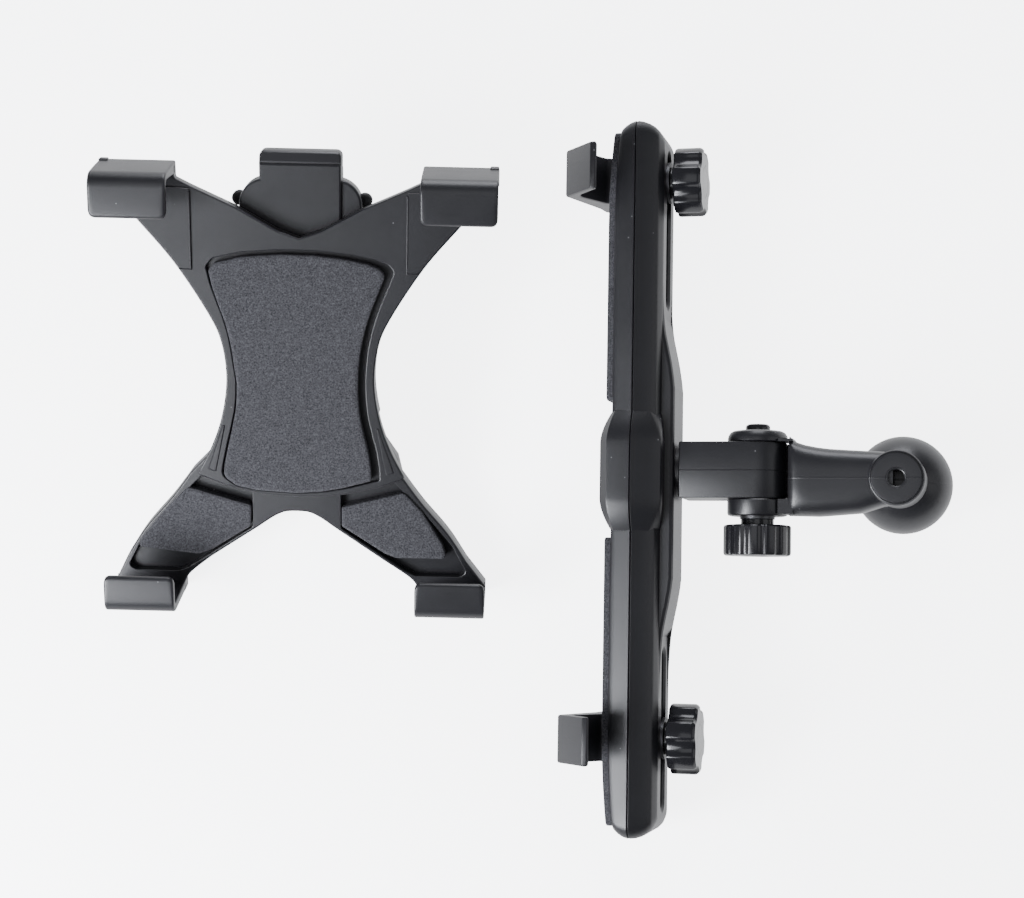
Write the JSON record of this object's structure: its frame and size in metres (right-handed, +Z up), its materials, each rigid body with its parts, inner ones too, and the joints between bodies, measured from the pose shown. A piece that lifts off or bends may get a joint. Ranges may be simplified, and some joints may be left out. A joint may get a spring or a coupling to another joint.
{
  "type": "headrest tablet mount",
  "caption": "Headrest tablet mount, unassembled: a sprung X-shaped tablet cradle with hooks and foam pads, and a bar with post hooks, clamp knobs and a hinged arm that ends in a ball.",
  "frame": {"origin": "middle of the footprint of both halves, on the table they lie on", "axes": "+X across from the cradle to the ball, +Y up the picture along the bar, +Z up from the table towards the camera"},
  "size_m": [0.2453, 0.2046, 0.0704],
  "materials": {
    "satin_plastic": "fine satin moulding, near black",
    "gloss_plastic": "smooth semi-gloss moulding, near black",
    "foam": "speckled dark grey closed-cell foam",
    "steel": "bright zinc plate",
    "rubber": "soft black rubber"
  },
  "bodies": {
    "mount": {"rear_body": "satin_plastic", "rear_cover": "satin_plastic", "cover_screws": "steel", "left_pad": "foam", "right_pad": "foam", "side_bumpers": "rubber", "return_springs": "steel", "front_shell": "satin_plastic", "rear_shell": "satin_plastic", "shell_screws": "steel", "upper_foam_strip": "foam", "lower_foam_strip": "foam", "stem_arm": "satin_plastic"},
    "slide_plate": {"front_plate": "satin_plastic", "centre_pad": "foam", "guide_screws": "steel", "guide_washers": "steel"},
    "socket_nut": {"locking_nut": "gloss_plastic"},
    "arm": {"ball_arm": "gloss_plastic", "hinge_bolt": "gloss_plastic", "hinge_washer": "steel"},
    "arm_knob": {"hinge_knob": "gloss_plastic", "hinge_knob_nut": "steel"},
    "upper_carriage": {"upper_washer": "steel"},
    "upper_clamp": {"upper_hook_bolt": "steel"},
    "upper_swivel": {"upper_hook": "gloss_plastic"},
    "upper_knob_body": {"upper_knob": "gloss_plastic", "upper_knob_nut": "steel"},
    "lower_carriage": {"lower_washer": "steel"},
    "lower_clamp": {"lower_hook_bolt": "steel"},
    "lower_swivel": {"lower_hook": "gloss_plastic"},
    "lower_knob_body": {"lower_knob": "gloss_plastic", "lower_knob_nut": "steel"}
  },
  "joints": [
    {"name": "plate_slide", "type": "slide", "parent": "mount", "child": "slide_plate", "axis": [0.0226, 0.9257, 0.3776], "range_m": [0, 0.05], "stiffness_N_per_m": 90, "springref_m": -0.03, "deforming": ["return_springs"]},
    {"name": "socket_nut_turn", "type": "hinge", "parent": "mount", "child": "socket_nut", "pos_m": [-0.06553, 0.04398, 0.01774], "axis": [0.0092, 0.3775, -0.926], "range_deg": [0, 720]},
    {"name": "arm_hinge", "type": "hinge", "parent": "mount", "child": "arm", "pos_m": [0.06417, -0.00054, 0.02799], "axis": [0.0175, 0.9998, 0], "range_deg": [-90, 90]},
    {"name": "arm_knob_turn", "type": "hinge", "parent": "arm", "child": "arm_knob", "pos_m": [0.06396, -0.01243, 0.02799], "axis": [-0.0175, -0.9998, 0], "range_deg": [0, 720]},
    {"name": "upper_slot_slide", "type": "slide", "parent": "mount", "child": "upper_carriage", "axis": [0.0175, 0.9998, 0], "range_m": [-0.0342, 0.0061]},
    {"name": "upper_knob_turn", "type": "hinge", "parent": "upper_carriage", "child": "upper_knob_body", "pos_m": [0.03998, 0.0861, 0.02149], "axis": [0.9694, -0.0169, 0.245], "range_deg": [0, 1800.5]},
    {"name": "upper_clamp_slide", "type": "slide", "parent": "upper_carriage", "child": "upper_clamp", "axis": [-0.9694, 0.0169, -0.245], "range_m": [0, 0.004]},
    {"name": "upper_hook_swivel", "type": "hinge", "parent": "upper_clamp", "child": "upper_swivel", "pos_m": [0.0235, 0.08639, 0.01733], "axis": [0.9694, -0.0169, 0.245], "continuous": true},
    {"name": "lower_slot_slide", "type": "slide", "parent": "mount", "child": "lower_carriage", "axis": [0.0175, 0.9998, 0], "range_m": [-0.0176, 0.0227]},
    {"name": "lower_knob_turn", "type": "hinge", "parent": "lower_carriage", "child": "lower_knob_body", "pos_m": [0.03718, -0.07478, 0.02149], "axis": [0.9694, -0.0169, 0.245], "range_deg": [0, 1800.5]},
    {"name": "lower_clamp_slide", "type": "slide", "parent": "lower_carriage", "child": "lower_clamp", "axis": [-0.9694, 0.0169, -0.245], "range_m": [0, 0.004]},
    {"name": "lower_hook_swivel", "type": "hinge", "parent": "lower_clamp", "child": "lower_swivel", "pos_m": [0.0207, -0.07449, 0.01733], "axis": [0.9694, -0.0169, 0.245], "continuous": true}
  ],
  "couplings": [
    {"joint": "upper_knob_turn", "follows": "upper_clamp_slide", "rad_per_m": 7854},
    {"joint": "lower_knob_turn", "follows": "lower_clamp_slide", "rad_per_m": 7854}
  ]
}
